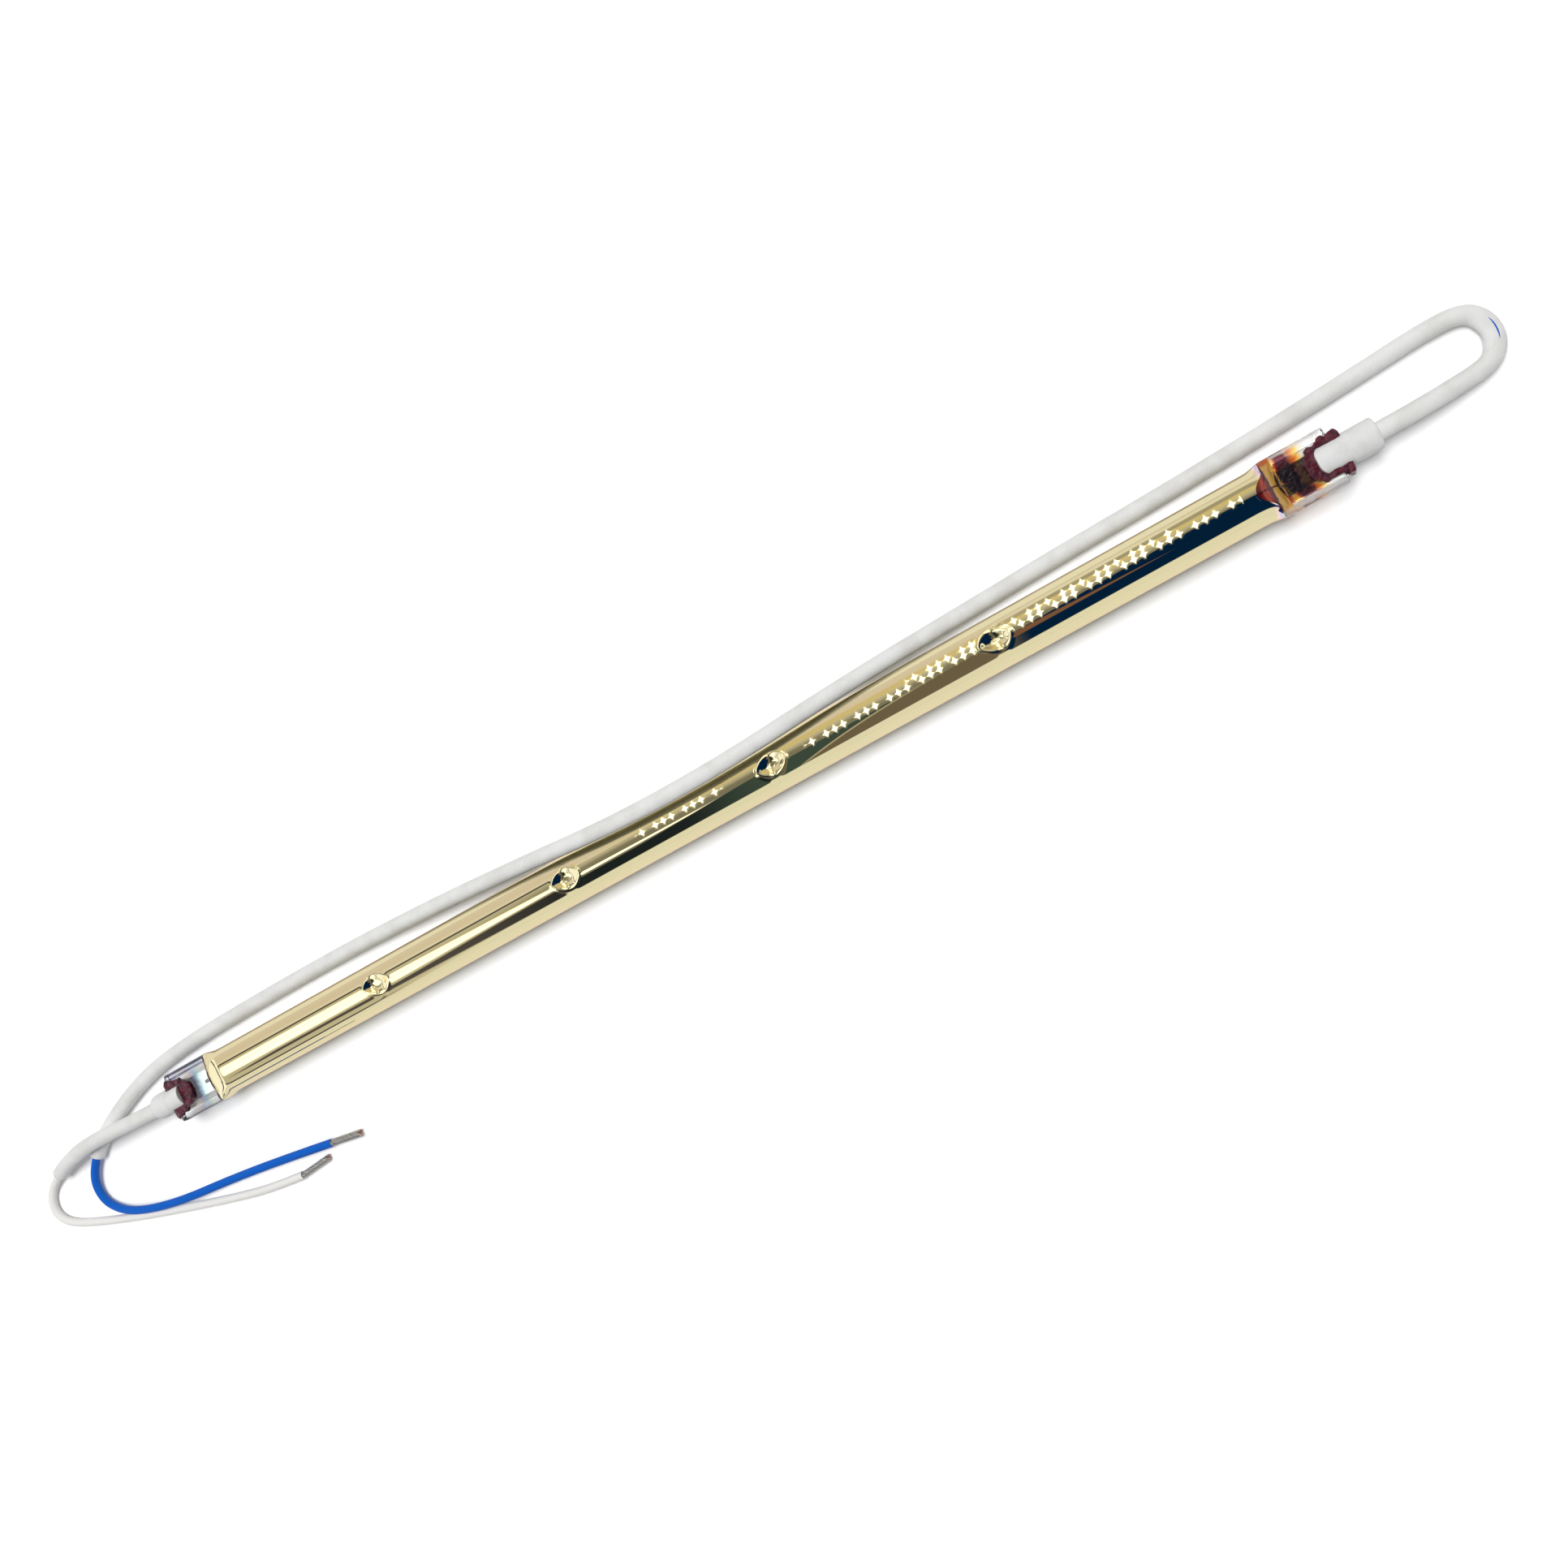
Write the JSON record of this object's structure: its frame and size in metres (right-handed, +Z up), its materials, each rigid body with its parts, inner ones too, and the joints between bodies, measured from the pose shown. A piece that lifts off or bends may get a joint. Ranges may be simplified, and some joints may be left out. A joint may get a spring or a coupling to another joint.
{
  "type": "infrared heat lamp",
  "caption": "Gold-coated quartz tube heat lamp, pinched at both ends, with ceramic end caps and sleeved flying leads laid loose beside it.",
  "frame": {"origin": "on the floor below the middle of the lamp's rigid body (tube, pinches and caps)", "axes": "+X along the tube towards the end whose long lead loops back, +Y towards the side that lead lies on, +Z up"},
  "size_m": [0.3839, 0.0465, 0.0138],
  "materials": {
    "gold_quartz": "quartz glass with a mirror-bright gold coat on the tube; the pinches are bare",
    "tungsten": "drawn tungsten wire",
    "molybdenum": "dark drawn molybdenum",
    "plated_metal": "nickel-plated steel",
    "ceramic": "unglazed white steatite",
    "cement": "maroon refractory cement, slightly glossy",
    "sleeve": "silicone-coated glass-fibre braid, off-white",
    "blue_insulation": "blue silicone insulation",
    "white_insulation": "white silicone insulation",
    "plated_strand": "twisted nickel-plated copper strands"
  },
  "bodies": {
    "root": {"quartz_envelope": "gold_quartz", "filament": "tungsten", "filament_support_1": "tungsten", "filament_support_2": "tungsten", "filament_support_3": "tungsten", "filament_support_4": "tungsten", "inner_lead_right": "molybdenum", "inner_lead_left": "molybdenum", "seal_foil_right": "molybdenum", "seal_foil_left": "molybdenum", "outer_pin_right": "molybdenum", "outer_pin_left": "molybdenum", "crimp_right": "plated_metal", "crimp_left": "plated_metal", "ceramic_cap_right": "ceramic", "ceramic_cap_left": "ceramic", "cement_right": "cement", "cement_left": "cement", "sleeve_right": "sleeve", "sleeve_left": "sleeve", "wire_right": "blue_insulation", "wire_left": "white_insulation", "strands_right": "plated_strand", "strands_left": "plated_strand"}
  },
  "joints": []
}
